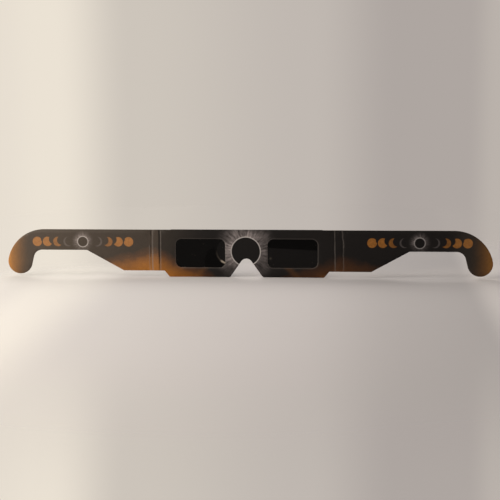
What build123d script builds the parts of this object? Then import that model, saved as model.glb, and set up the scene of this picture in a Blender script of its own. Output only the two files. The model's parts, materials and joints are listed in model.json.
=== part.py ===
from build123d import *
from math import asin, atan, cos, degrees, radians, sin, sqrt, tan
import os

# Paper eclipse glasses, unfolded. Millimetres.
# +X runs along the glasses, to the right as seen from the printed side. The printed side faces -Y and the
# wearer's face is on +Y. +Z is up to the brow. The origin is where the nose bridge meets the nose: the top
# of the notch, midway through the thickness.

# Board, film and glue
BOARD_THICKNESS = 0.45
FILM_THICKNESS = 0.10

# Windows, and the board above and below them
WINDOW_SPACING = 66.4
WINDOW_WIDTH = 35.8
WINDOW_HEIGHT = 20.7
WINDOW_RADIUS = 4.2
WINDOW_TOP_MARGIN = 6.7
WINDOW_BOTTOM_MARGIN = 6.9

# Films, larger all round than the windows
FILM_MARGIN = 2.2

# Nose notch: a V with a round top
NOTCH_WIDTH = 23.7
NOTCH_SHARP_HEIGHT = 16.9
NOTCH_TOP_RADIUS = 4.5
NOTCH_CORNER_RADIUS = 2.2

# Back flap, folded over along the top edge
FLAP_SIDE_MARGIN = 1.2
FLAP_SETBACK = 0.6
FLAP_CORNER_RADIUS = 2.0
FLAP_WINDOW_OVERSIZE = 0.5
FOLD_RISE = 0.2

# Glue between the plies
GLUE_FILM_CLEARANCE = 0.2
GLUE_EDGE_MARGIN = 1.0
GLUE_END_MARGIN = 0.2
GLUE_NOTCH_MARGIN = 1.5
BRIDGE_PAD_MARGIN = 2.0

# Shoulder: the step up from the front panel's lower edge to the hinge strips
SHOULDER_MARGIN = 1.3
SHOULDER_RUN = 3.6
SHOULDER_DROP = 4.4
SHOULDER_RADIUS = 0.8

# Creases: the two folds on each side
CREASE_MARGIN = 3.8
STRIP_WIDTH = 6.2
CREASE_RADIUS = 0.2
CREASE_CLEARANCE = 0.03
PANEL_GAP = 0.05

# Temple, from the outer crease to the ear hook. The slant is in degrees from upright
TEMPLE_LENGTH = 105.4
FOOT_LENGTH = 19.9
SLOPE_LENGTH = 26.9
SLOPE_RADIUS = 1.5
ARM_HEIGHT = 15.1
EAR_RADIUS = 6.5
HOOK_DROP = 8.65
HOOK_SLANT = 14.0
HOOK_TIP_RADIUS = 9.0
HOOK_BACK_RADIUS = 28.0

# Layers through the thickness, from the printed face to the back
LAYER_FRONT = -FILM_THICKNESS / 2
LAYER_BACK = FILM_THICKNESS / 2
PRINTED_FACE = LAYER_FRONT - BOARD_THICKNESS
FLAP_FACE = LAYER_BACK + BOARD_THICKNESS

# Heights
NOTCH_HALF_ANGLE = atan(NOTCH_WIDTH / 2 / NOTCH_SHARP_HEIGHT)
NOTCH_SHARP_Z = NOTCH_TOP_RADIUS * (1 / sin(NOTCH_HALF_ANGLE) - 1)
BOTTOM_Z = NOTCH_SHARP_Z - NOTCH_SHARP_HEIGHT
HINGE_BOTTOM_Z = BOTTOM_Z + SHOULDER_DROP
WINDOW_Z = BOTTOM_Z + WINDOW_BOTTOM_MARGIN + WINDOW_HEIGHT / 2
TOP_Z = WINDOW_Z + WINDOW_HEIGHT / 2 + WINDOW_TOP_MARGIN
FOLD_RADIUS = FLAP_FACE
FOLD_SEAT_Z = TOP_Z + FOLD_RISE - FOLD_RADIUS
FLAP_BOTTOM_Z = BOTTOM_Z + FLAP_SETBACK

# The films take their places from the windows
WINDOW_X = WINDOW_SPACING / 2
FILM_WIDTH = WINDOW_WIDTH + 2 * FILM_MARGIN
FILM_HEIGHT = WINDOW_HEIGHT + 2 * FILM_MARGIN
FILM_OUTER_X = WINDOW_X + FILM_WIDTH / 2
FILM_INNER_X = WINDOW_X - FILM_WIDTH / 2
FILM_TOP_Z = WINDOW_Z + FILM_HEIGHT / 2
FILM_BOTTOM_Z = WINDOW_Z - FILM_HEIGHT / 2

# Places outward from the films to the temples
FLAP_SIDE_X = FILM_OUTER_X + FLAP_SIDE_MARGIN
SHOULDER_BOTTOM_X = FLAP_SIDE_X + SHOULDER_MARGIN
SHOULDER_TOP_X = SHOULDER_BOTTOM_X + SHOULDER_RUN
INNER_CREASE_X = SHOULDER_TOP_X + CREASE_MARGIN
OUTER_CREASE_X = INNER_CREASE_X + STRIP_WIDTH


def sheet(sketch, front, back):
    """Flat piece with the sketch's outline, between two places along Y."""
    return extrude(Plane.XZ.offset(-back) * sketch, amount=back - front)


def block(x_low, x_high, z_low, z_high):
    """Rectangle between two places along X and two along Z."""
    corner = Location((x_low, z_low))
    return corner * Rectangle(x_high - x_low, z_high - z_low, align=Align.MIN)


def mirrored(half):
    """Corners and radii of a whole outline, from its right half and the point at the top of the notch."""
    right, centre = half[:-1], half[-1]
    left = [((-x, z), radius) for (x, z), radius in reversed(right)]
    return right + [centre] + left


def outline(corners):
    """Closed face through the corners, each rounded by its own radius."""
    points = [point for point, radius in corners]
    radii = [radius for point, radius in corners]
    return make_face(FilletPolyline(*points, radius=radii, close=True))


def windows(oversize=0):
    """The two rounded windows, larger all round by the oversize."""
    window = RectangleRounded(
        WINDOW_WIDTH + 2 * oversize, WINDOW_HEIGHT + 2 * oversize, WINDOW_RADIUS + oversize
    )
    return [Location((x, WINDOW_Z)) * window for x in (-WINDOW_X, WINDOW_X)]


def crease_rod(x, radius):
    """Round bar along a crease, centred on the back face of the board."""
    foot = Plane(origin=(x, LAYER_FRONT, HINGE_BOTTOM_Z), z_dir=(0, 0, 1))
    return extrude(foot * Circle(radius), amount=TOP_Z - HINGE_BOTTOM_Z)


def crease_seat(x):
    """Space that a crease and its running clearance take out of the panels beside it."""
    return crease_rod(x, CREASE_RADIUS + CREASE_CLEARANCE)


def front_ply():
    panel_end = INNER_CREASE_X - PANEL_GAP / 2
    half = [
        ((FLAP_SIDE_X, FOLD_SEAT_Z), 0),
        ((FLAP_SIDE_X, TOP_Z), 0),
        ((panel_end, TOP_Z), 0),
        ((panel_end, HINGE_BOTTOM_Z), 0),
        ((SHOULDER_TOP_X, HINGE_BOTTOM_Z), SHOULDER_RADIUS),
        ((SHOULDER_BOTTOM_X, BOTTOM_Z), SHOULDER_RADIUS),
        ((NOTCH_WIDTH / 2, BOTTOM_Z), NOTCH_CORNER_RADIUS),
        ((0, NOTCH_SHARP_Z), NOTCH_TOP_RADIUS),
    ]
    face = outline(mirrored(half)) - windows()
    ply = sheet(face, PRINTED_FACE, LAYER_FRONT)
    return ply - crease_seat(INNER_CREASE_X) - crease_seat(-INNER_CREASE_X)


def back_flap():
    notch_sharp_z = NOTCH_SHARP_Z + FLAP_SETBACK / sin(NOTCH_HALF_ANGLE)
    notch_half_width = (notch_sharp_z - FLAP_BOTTOM_Z) * tan(NOTCH_HALF_ANGLE)
    half = [
        ((FLAP_SIDE_X, FOLD_SEAT_Z), 0),
        ((FLAP_SIDE_X, FLAP_BOTTOM_Z), FLAP_CORNER_RADIUS),
        ((notch_half_width, FLAP_BOTTOM_Z), NOTCH_CORNER_RADIUS),
        ((0, notch_sharp_z), NOTCH_TOP_RADIUS + FLAP_SETBACK),
    ]
    face = outline(mirrored(half)) - windows(FLAP_WINDOW_OVERSIZE)
    return sheet(face, LAYER_BACK, FLAP_FACE)


def top_fold():
    """Half-round fold over the top edge, flush with the outer faces of both plies."""
    ring = Circle(FOLD_RADIUS) - Circle(LAYER_BACK)
    upper_half = Rectangle(2 * FOLD_RADIUS, FOLD_RADIUS, align=(Align.CENTER, Align.MIN))
    end = Plane(origin=(-FLAP_SIDE_X, 0, FOLD_SEAT_Z), x_dir=(0, 1, 0), z_dir=(1, 0, 0))
    return extrude(end * (ring & upper_half), amount=2 * FLAP_SIDE_X)


def filter_film(x):
    face = Location((x, WINDOW_Z)) * Rectangle(FILM_WIDTH, FILM_HEIGHT)
    return sheet(face, LAYER_FRONT, LAYER_BACK)


def glue(face):
    return sheet(face, LAYER_FRONT, LAYER_BACK)


def glue_lines():
    """Glue that holds the flap to the front ply, round the films."""
    top_low = FILM_TOP_Z + GLUE_FILM_CLEARANCE
    top_high = FOLD_SEAT_Z - GLUE_EDGE_MARGIN
    bottom_low = FLAP_BOTTOM_Z + GLUE_EDGE_MARGIN
    bottom_high = FILM_BOTTOM_Z - GLUE_FILM_CLEARANCE
    end_inner = FILM_OUTER_X + GLUE_FILM_CLEARANCE
    end_outer = FLAP_SIDE_X - GLUE_END_MARGIN
    notch_side = (NOTCH_SHARP_Z - bottom_low) * tan(NOTCH_HALF_ANGLE) + GLUE_NOTCH_MARGIN
    pad_side = FILM_INNER_X - BRIDGE_PAD_MARGIN
    bottom_right = glue(block(notch_side, FILM_OUTER_X, bottom_low, bottom_high))
    right_end = glue(block(end_inner, end_outer, FILM_BOTTOM_Z, FILM_TOP_Z))
    return {
        "glue_top_line": glue(block(-FILM_OUTER_X, FILM_OUTER_X, top_low, top_high)),
        "glue_bridge_pad": glue(
            block(-pad_side, pad_side, BRIDGE_PAD_MARGIN, FILM_TOP_Z - BRIDGE_PAD_MARGIN)
        ),
        "glue_bottom_right": bottom_right,
        "glue_bottom_left": bottom_right.mirror(Plane.YZ),
        "glue_right_end": right_end,
        "glue_left_end": right_end.mirror(Plane.YZ),
    }


def right_hinge_strip():
    face = block(
        INNER_CREASE_X + PANEL_GAP / 2, OUTER_CREASE_X - PANEL_GAP / 2, HINGE_BOTTOM_Z, TOP_Z
    )
    strip = sheet(face, PRINTED_FACE, LAYER_FRONT)
    return strip - crease_seat(INNER_CREASE_X) - crease_seat(OUTER_CREASE_X)


def right_temple():
    """Wide foot at the crease, slope up to the narrow arm, and the ear hook that bends down."""
    foot_start = OUTER_CREASE_X + PANEL_GAP / 2
    slope_start = OUTER_CREASE_X + FOOT_LENGTH
    arm_bottom_z = TOP_Z - ARM_HEIGHT
    # The ear rests in the arc under the arm. From there the hook's inner side slants down to the round tip
    tip_x = OUTER_CREASE_X + TEMPLE_LENGTH - HOOK_TIP_RADIUS
    tip_z = arm_bottom_z - HOOK_DROP
    slant = radians(HOOK_SLANT)
    side_x = tip_x - HOOK_TIP_RADIUS * cos(slant)
    side_z = tip_z - HOOK_TIP_RADIUS * sin(slant)
    corner_x = side_x - (arm_bottom_z - side_z) * tan(slant)
    # The hook's back is an arc that leaves the top edge level and runs smoothly into the round tip
    back_z = TOP_Z - HOOK_BACK_RADIUS
    centres_apart = HOOK_BACK_RADIUS - HOOK_TIP_RADIUS
    back_x = tip_x - sqrt(centres_apart**2 - (tip_z - back_z) ** 2)
    meeting_angle = degrees(asin((tip_z - back_z) / centres_apart))
    edges = Curve() + [
        FilletPolyline(
            (side_x, side_z),
            (corner_x, arm_bottom_z),
            (slope_start + SLOPE_LENGTH, arm_bottom_z),
            (slope_start, HINGE_BOTTOM_Z),
            (foot_start, HINGE_BOTTOM_Z),
            (foot_start, TOP_Z),
            (back_x, TOP_Z),
            radius=[EAR_RADIUS, SLOPE_RADIUS, SLOPE_RADIUS, 0, 0],
        ),
        CenterArc((back_x, back_z), HOOK_BACK_RADIUS, meeting_angle, 90 - meeting_angle),
        CenterArc((tip_x, tip_z), HOOK_TIP_RADIUS, meeting_angle, HOOK_SLANT - 180 - meeting_angle),
    ]
    temple = sheet(make_face(edges), PRINTED_FACE, LAYER_FRONT)
    return temple - crease_seat(OUTER_CREASE_X)


def right_side():
    """Pieces of the right side, named without the side."""
    return {
        "filter_film": filter_film(WINDOW_X),
        "inner_crease": crease_rod(INNER_CREASE_X, CREASE_RADIUS),
        "hinge_strip": right_hinge_strip(),
        "outer_crease": crease_rod(OUTER_CREASE_X, CREASE_RADIUS),
        "temple": right_temple(),
    }


pieces = {"front_ply": front_ply(), "top_fold": top_fold(), "back_flap": back_flap()}
pieces.update(glue_lines())
for name, piece in right_side().items():
    pieces["right_" + name] = piece
    pieces["left_" + name] = piece.mirror(Plane.YZ)

os.makedirs("parts", exist_ok=True)
for name, piece in pieces.items():
    export_step(piece, f"parts/{name}.step")
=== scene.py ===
# Paper eclipse glasses, unfolded: printed board, folded front panel, filter films and creased side strips.
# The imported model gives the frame, in metres: +X along the glasses, -Y the printed face, +Z up to the brow.
import json
from functools import partial
from math import atan2, ceil, cos, degrees, exp, hypot, pi, radians, sin, sqrt, tan

import bmesh
import bpy
from mathutils import Matrix, Vector, noise


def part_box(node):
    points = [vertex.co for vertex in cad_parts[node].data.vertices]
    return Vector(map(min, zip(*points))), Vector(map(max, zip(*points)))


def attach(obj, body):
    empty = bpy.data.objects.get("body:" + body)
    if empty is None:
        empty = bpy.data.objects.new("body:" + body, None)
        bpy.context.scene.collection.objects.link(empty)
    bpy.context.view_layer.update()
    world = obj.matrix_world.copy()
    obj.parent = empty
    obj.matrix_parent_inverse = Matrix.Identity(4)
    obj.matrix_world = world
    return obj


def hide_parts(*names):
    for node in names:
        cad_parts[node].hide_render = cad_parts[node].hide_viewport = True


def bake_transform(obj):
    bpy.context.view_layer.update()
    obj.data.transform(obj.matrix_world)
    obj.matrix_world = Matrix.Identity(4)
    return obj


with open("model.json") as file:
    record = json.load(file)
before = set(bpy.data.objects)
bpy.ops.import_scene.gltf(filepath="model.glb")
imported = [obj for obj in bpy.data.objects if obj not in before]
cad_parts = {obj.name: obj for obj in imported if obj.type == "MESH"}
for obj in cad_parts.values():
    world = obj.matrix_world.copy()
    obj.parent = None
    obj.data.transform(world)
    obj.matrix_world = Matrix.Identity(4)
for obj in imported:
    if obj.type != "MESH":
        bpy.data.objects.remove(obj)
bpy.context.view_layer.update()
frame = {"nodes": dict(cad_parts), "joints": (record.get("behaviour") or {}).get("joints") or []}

bl_info = {
    "name": "Eclipse Glasses",
    "version": (1, 0, 0),
    "blender": (4, 5, 0),
    "location": "3D View > Sidebar > Eclipse Glasses",
    "description": "Models paper eclipse glasses round their packed frame",
    "category": "Add Mesh",
}

MM = 0.001
SIDES = {"left": -1, "right": 1}

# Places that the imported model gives
FRONT_LOW, FRONT_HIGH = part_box("front_ply")
FLAP_LOW, FLAP_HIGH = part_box("back_flap")
FILM_LOW, FILM_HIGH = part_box("right_filter_film")
STRIP_LOW, STRIP_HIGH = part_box("right_hinge_strip")
TEMPLE_LOW, TEMPLE_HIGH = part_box("right_temple")
FOLD_SEAT_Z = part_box("top_fold")[0].z
CREASE_X = {joint["name"]: abs(joint["pos_m"][0]) for joint in frame["joints"]}
INNER_X = CREASE_X["right_inner_fold"]
OUTER_X = CREASE_X["right_outer_fold"]
WINDOW_CENTRE = (FILM_LOW + FILM_HIGH) / 2

# How finely shapes are divided
ARC_CHORD = 0.7 * MM
GRID_CELL = 3.0 * MM
FILM_CELL = 0.5 * MM
CREASE_CELLS = (20, 44)
CORNER_CELLS = 10
FOLD_CELLS = 12
FLOOR_CORNERS = 96
SAME_PLACE = 0.001 * MM

# Rings of faces that let a window's edge roll, as shares of the roll's width from outside to the edge
ROLL_STEPS = (0.3, 0.24, 0.19, 0.15, 0.12)
ROLL_SHAPE = 1.35
# How deep a rounded cut edge sinks, as a share of its width
CUT_SINK = 0.8
# A face belongs to a side of the board when its normal leans there by more than this
SIDE_LEAN = 0.45
# Faces whose normals turn by less than this are shaded as one surface
SMOOTH_ANGLE = radians(40)
# Depth at which the noise of all waves is cut, away from its zeros at whole numbers
NOISE_SLICE = 0.37
# Share of the flat margin that has no waves at all
WAVE_START = 0.25
# The temples' bows: where each starts in its swell, in radians, and a ripple's height and span as shares
BOW_PHASES = {"left": 2.1, "right": 0.6}
RIPPLE_HEIGHT = 0.5
RIPPLE_SPAN = 1.4

# Marks along each crease: pale ones, partly board showing through cracked varnish and partly a painted
# highlight on the groove's lit slope, and dark ones, painted shade in the groove. For each, where it starts
# and ends, as the distance from the crease's axis to the right and the height above the notch top, then its
# half width, all in millimetres, and its strength
PALE_MARKS = {
    "left_outer": (
        (1.75, 20.7, 1.5, 6.0, 0.42, 0.46),
        (1.5, 6.0, 1.3, -9.2, 0.5, 0.72),
        (-0.75, 9.0, -0.85, -9.0, 0.35, 0.42),
    ),
    "left_inner": ((1.2, 20.7, 0.9, -9.2, 0.38, 0.45),),
    "right_inner": ((-0.05, 20.7, 0.15, 10.0, 0.34, 0.32), (0.15, 10.0, 0.5, -9.2, 0.38, 0.4)),
    "right_outer": (
        (-0.85, 20.7, 0.1, 9.4, 0.38, 0.36),
        (0.1, 9.4, 0.15, -9.2, 0.4, 0.22),
        (0.25, 10.2, 0.2, 8.4, 0.42, 0.42),
    ),
}
# Dark marks: painted shade along the grooves
DARK_MARKS = {
    "left_outer": ((0.15, 20.7, 0.1, 17.0, 0.4, 0.6), (0.0, 9.0, -0.1, 1.0, 0.36, 0.45)),
    "left_inner": (
        (0.2, 20.7, 0.05, 1.0, 0.5, 0.95),
        (0.05, 1.0, -0.05, -4.0, 0.5, 0.7),
        (-0.05, -4.0, -0.15, -9.2, 0.5, 0.4),
    ),
    "right_inner": ((1.25, 19.0, 1.25, -2.0, 0.4, 0.5),),
    "right_outer": ((-1.3, 14.0, -0.9, 6.0, 0.4, 0.45),),
}
# Where the middle of the pressed groove lies from the crease's axis, to the right, in millimetres
GROOVE_PLACES = {"left_outer": 0.75, "left_inner": 0.5, "right_inner": -0.45, "right_outer": -0.4}
# How much each score wanders, as a share of the kink that the most worn one has
KINK_SHARES = {"left_outer": 0.35, "left_inner": 0.35, "right_inner": 0.35, "right_outer": 1.0}

# Dent in the left film: its arc's upper end and the end that meets the window, in degrees about its centre,
# how steeply it rises and falls, the share of the arc at which it is over, and its ridge's share of its width
DENT_START, DENT_END = 167, 251
DENT_RISE, DENT_FALL, DENT_OVER = 4, 8, 1.12
RIDGE_WIDTH = 0.7
# How pale the film is painted in the dent, partly stress whitening and partly a painted glint of the lamp:
# all over, towards its lower end and from where it is sharp, and in a rubbed speck
STRESS_LEVELS = (0.02, 0.1, 0.8)
SHARP_START, SHARP_RUN = 0.68, 0.14
SPECK_LEVEL = 0.07
# How much painted reflection the left film has inside the dent's arc and elsewhere, and where the rim of the
# painted shadow beside the dent starts and how wide it is, as shares of that shadow
HAZE_INSIDE, HAZE_OUTSIDE = 0.9, 0.3
HOLLOW_RIM, RIM_RUN = 0.92, 0.12
# How the lower border of the right film's dark upper band, which has no painted reflection, slopes down to
# the right, and the distance over which it fades
BAND_SLOPE = 0.05
BAND_SOFT = 1.0 * MM

# Spans along the glasses, in millimetres: where the print gets darker to the right, where the pale inks do,
# and where painted sheen makes the glow stronger past the left inner crease
THIN_SPAN = (-30.0, 60.0)
PALE_SPAN = (20.0, 110.0)
STRONG_SPAN = (-62.5, -64.0)
# What the print's parts have at the start and the end of these spans
GLOW_REACH = (1.2, 0.98)
GLOW_LEVEL = (0.86, 0.37)
STRONG_LEVEL = (1.0, 1.3)
HOOK_LEVEL = (1.0, 0.56)
SUN_LEVEL = (1.0, 0.87)
PALE_LEVEL = (1.0, 0.66)
# Where the corner glow is full, how much clouds in the ink shift it, and between which of its values it turns
# brown and orange
GLOW_FULL = 0.37
GLOW_CLOUDS = 0.4
BROWN_RANGE = (0.0, 0.45)
ORANGE_RANGE = (0.25, 0.82)
# How far clouds in the ink shift the hooks' glow, in millimetres, and how slowly it sets in
HOOK_CLOUDS = 5.0
HOOK_CURVE = 2.25
# A faint ray's strength, and the heights at which it appears and is full, in millimetres
RAY_LEVEL = 0.12
RAY_TOP = (-2.0, -6.0)

# How strongly each crescent is printed, from the one beside the covered sun outward
CRESCENT_INK = (0.22, 0.75, 1.1, 1.15)
# How the moon stands before each sun of a row: its slant, its first distance, its further steps and its size
MOON_SLANT = radians(18)
MOON_GAP = 1.2 * MM
MOON_STEP = 1.7 * MM
MOON_SIZE = 0.97
# How far a printed rim fades to each side
INK_SOFT = 0.25 * MM
# Fineness of a corona's rays, and the strengths of its light and of its rim
BRIDGE_CORONA = (7.0, 1.12, 1.12)
TEMPLE_CORONA = (4.5, 0.85, 0.8)
# The heading in which a corona is brightest, its levels away from it and towards it, and how it falls off
CORONA_LEAN = (-0.7, 0.0, 0.71)
LEAN_LEVEL = (0.5, 1.0)
CORONA_FALL = 1.6
# How much the rays bend on their way out, and where the noise of the streamers is read, in millimetres
RAY_BREAK = 0.35
PATCH_PLACE = (11.0, 0.0, -7.0)

# Steps of painted sheen laid over the print, which lighten it on the left where a lamp's glare would fall,
# from the right to the left: where each starts and ends along the glasses, in millimetres, and how much it
# adds
VEIL_STEPS = (
    (140.0, 160.0, 0.032),
    (-25.0, -62.0, 0.03),
    (-61.0, -65.0, 0.052),
    (-69.0, -71.0, -0.012),
    (-71.0, -160.0, 0.036),
)

# Soft shades of the paper backdrop: where each starts and is full, as shares of the picture's width from the
# left, and the colour that the background and the floor then have
BACKDROP_SHADES = (
    (0.0, 0.08, "#ebe2d4", "#dedbd6"),
    (0.11, 0.26, "#cdc5bb", "#cecbca"),
    (0.26, 0.62, "#c0b8b1", "#d1cdcd"),
    (0.62, 0.8, "#aea6a1", "#c7c3c3"),
    (0.935, 0.995, "#bab2ab", "#e5e0de"),
)
# The picture's left and right edge: as the X part of a heading from the camera, and across the floor in
# millimetres
BACK_EDGES = (-0.293, 0.119)
FLOOR_EDGES = (-160.0, 173.0)
# Where the floor fades into the background: all round, and sooner behind the glasses, where the fade starts
# farther back on the right by this slope and stays below full. The distances are in millimetres
FLOOR_FADE = (200.0, 480.0)
REAR_FADE = (30.0, 130.0)
REAR_SLOPE = -0.45
REAR_LEVEL = 0.92
# How far the floor stays below the glasses, so that no faces lie in one plane
FLOOR_GAP = 0.01 * MM

# Width and height of each lamp, in metres
LAMP_SIZES = {"window_light": (0.26, 0.18), "ceiling_light": (0.45, 0.45), "rear_light": (0.55, 0.55)}
# Width of the camera's sensor, in millimetres, and the nearest distance that it sees
SENSOR_WIDTH = 36.0
NEAREST = 10 * MM


def linear(code):
    """Linear colour of an sRGB hex code, with full opacity."""
    parts = [int(code[start:start + 2], 16) / 255 for start in (1, 3, 5)]
    return (*(c / 12.92 if c <= 0.04045 else ((c + 0.055) / 1.055) ** 2.4 for c in parts), 1.0)


def length(description, millimetres):
    """Size that a user may change, given in millimetres and kept in metres."""
    return bpy.props.FloatProperty(
        description=description, default=millimetres * MM, unit="LENGTH", precision=5
    )


def colour(description, code):
    return bpy.props.FloatVectorProperty(
        description=description, default=linear(code), size=4, min=0, max=1, subtype="COLOR"
    )


def share(description, value):
    return bpy.props.FloatProperty(description=description, default=value, min=0, subtype="FACTOR")


def spot(description, place):
    """Place in the room, in metres."""
    return bpy.props.FloatVectorProperty(
        description=description, default=place, unit="LENGTH", subtype="TRANSLATION"
    )


def power(description, watts):
    return bpy.props.FloatProperty(description=description, default=watts, min=0, unit="POWER")


def named(group):
    """Names each property of a group after its attribute, as in "Window width"."""
    for attribute, setting in group.__annotations__.items():
        setting.keywords["name"] = attribute.replace("_", " ").capitalize()
    return group


@named
class PanelSizes(bpy.types.PropertyGroup):
    """Front panel and flap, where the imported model's boxes don't give the size."""

    window_width: length("Width of a die-cut window", 35.8)
    window_height: length("Height of a die-cut window", 20.7)
    window_radius: length("Rounding of a window's corners", 4.2)
    roll_width: length("Width of the board that the cutting die rolls inward", 1.1)
    roll_depth: length("How far the board sinks at a window's edge", 0.25)
    # A pale line round each window: partly board showing through rubbed ink, partly a painted highlight of
    # the rolled rim
    rub: share("How much board shows through the ink at a window's edge", 0.15)
    rub_place: length("Distance of the rubbed line from a window's edge", 0.3)
    rub_width: length("Half width of the rubbed line", 0.4)
    notch_width: length("Width of the nose notch at the lower edge", 23.7)
    notch_sharp_height: length("Height of the notch up to its sharp top", 16.9)
    notch_top_radius: length("Rounding at the top of the nose notch", 4.5)
    notch_corner_radius: length("Rounding where the notch meets the lower edge", 2.2)
    shoulder_bottom: length("Distance from the middle to the foot of the shoulder", 55.8)
    shoulder_run: length("How far the shoulder slopes outward", 3.6)
    shoulder_radius: length("Rounding of the shoulder's corners", 0.8)
    flap_oversize: length("How much larger the flap's windows are all round", 0.5)
    flap_setback: length("How far the flap's lower edge stays behind the front's", 0.6)
    flap_radius: length("Rounding of the flap's lower outer corners", 2.0)
    cut_rounding: length("Rounding that the cutting die leaves on the board", 0.05)
    unevenness: length("Height of the glued panel's slow waves", 0.024)
    wave_span: length("Distance over which the board rises and falls", 26.0)
    flat_margin: length("Width along the creases where the panel has no waves", 16.0)


@named
class CreaseSizes(bpy.types.PropertyGroup):
    """The four scored creases."""

    half_width: length("Half the width of board that a score marks", 2.0)
    bend_half: length("Half the width of board that bends when folded", 0.8)
    groove_depth: length("Depth of the score on the printed face", 0.15)
    groove_width: length("Half width of the score", 0.7)
    bead_height: length("Height of the raised bead on the back", 0.15)
    fade: length("Distance from the piece's edge in which the groove begins", 0.6)
    kink: length("How far a worn score wanders from a straight line", 0.22)
    kink_span: length("Distance along the crease from one kink to the next", 3.2)


@named
class TempleSizes(bpy.types.PropertyGroup):
    """Temple and ear hook."""

    foot: length("Length of the wide foot next to the crease", 19.9)
    slope: length("Length of the slope up to the arm", 26.9)
    slope_radius: length("Rounding at both ends of the slope", 1.5)
    arm_height: length("Height of the slim arm", 15.1)
    ear_radius: length("Arc in which the ear rests", 6.5)
    hook_drop: length("Distance from the arm's lower edge down to the middle of the tip", 8.65)
    hook_slant: bpy.props.FloatProperty(
        description="How far the hook's inner side leans from upright", default=radians(14.0), unit="ROTATION"
    )
    tip_radius: length("Rounding of the hook's tip", 9.0)
    back_radius: length("Large arc along the back of the hook", 28.0)
    bow: length("How far the temple waves out of its plane", 0.16)
    bow_start: length("Distance from the crease in which the bow begins", 60.0)
    bow_span: length("Distance over which the bow swells by a radian", 17.0)


@named
class FilmSizes(bpy.types.PropertyGroup):
    """Filter films."""

    buckle: length("Height of the film's slow buckles inside a window", 0.1)
    buckle_span: length("Distance over which a buckle rises and falls", 13.0)
    free_edge: length("Distance from the window's edge in which a buckle rises", 3.0)
    dent_x: length("Centre of the curved dent's circle, from the middle", -12.4)
    dent_z: length("Centre of the curved dent's circle, above the notch top", 5.3)
    dent_radius: length("Radius of the curved dent", 9.1)
    dent_width: length("Half width of the dent's ridge", 0.85)
    dent_height: length("Height of the dent's ridge", 0.24)
    # Painted shadow beside the dent, where the left film gets no painted reflection
    hollow_x: length("Middle of the dull hollow beside the dent, across", -23.3)
    hollow_z: length("Height of the hollow's middle above the notch top", -2.6)
    hollow_width: length("Half the width of the hollow", 7.2)
    hollow_height: length("Half the height of the hollow", 10.2)
    # Below this border the right film gets painted reflection; above it the film stays dark
    band_z: length("Lower border of the dull band across the right film", 6.9)
    speck_x: length("Place of a rubbed speck on the right film", 17.3)
    speck_z: length("Height of that speck above the notch top", 0.1)
    speck_radius: length("Half width of that speck", 0.75)


@named
class PrintLook(bpy.types.PropertyGroup):
    """Colours and sizes of the printed design."""

    ground: colour("Warm black ink", "#110f0f")
    ground_light: colour("Black ink where less of it lies", "#1a1716")
    brown: colour("Outer part of the glow", "#5f3a1c")
    orange: colour("Middle of the glow", "#9a5f10")
    hook: colour("Glow across the ear hooks", "#b37628")
    sun: colour("Disc of the sun", "#99642c")
    halo: colour("Pale light round a covered sun", "#989090")
    ring: colour("Bright rim of a covered sun", "#b4b0af")
    # Pale board through cracked ink, also used as a painted highlight along the creases and the windows' rims
    worn: colour("Board that shows through cracked ink", "#7c7672")
    # Colour of the painted shade in the creases' pressed lines
    pressed: colour("Ink that lies deep in a pressed line", "#070606")
    # Colour of the painted sheen that lightens the print on the left
    veil: colour("Fine scuffs and faded varnish, which lighten the print on the left", "#c9b4a0")
    glow_x: length("Distance of a corner glow from the middle of the front", 66.0)
    glow_z: length("Height of a corner glow's middle", -16.0)
    glow_inward: length("How far a corner glow reaches to the nose", 55.0)
    glow_outward: length("How far a corner glow reaches along the temple", 107.0)
    glow_up: length("How far a corner glow reaches up", 25.0)
    hook_x: length("Where the glow of an ear hook starts", 157.0)
    hook_end_x: length("Where the glow of an ear hook is full", 175.0)
    ray_place: length("Distance from the middle at which a faint ray meets the notch top's height", 23.4)
    ray_width: length("Distance across a faint ray over which it fades", 5.0)
    row_x: length("Distance of the covered sun on the temple from the middle", 121.2)
    row_z: length("Height of the row of suns", 11.75)
    print_shift: length("How far the printed rows lie to the right of the cut board", 2.1)
    sun_radius: length("Radius of a sun in the row", 3.45)
    sun_start: length("Distance from the covered sun to the nearest crescent", 10.8)
    sun_pitch: length("Distance between suns", 7.6)
    covered_radius: length("Radius of the covered sun on a temple", 3.85)
    covered_reach: length("How far light reaches round it", 8.6)
    disc_radius: length("Radius of the dark disc on the bridge", 10.55)
    disc_reach: length("How far light reaches from the disc's centre", 25.0)
    disc_x: length("Place of the disc's centre across", -0.4)
    disc_z: length("Height of the disc's centre", 5.1)
    rim: length("Half width of a covered sun's bright rim", 0.32)


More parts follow.
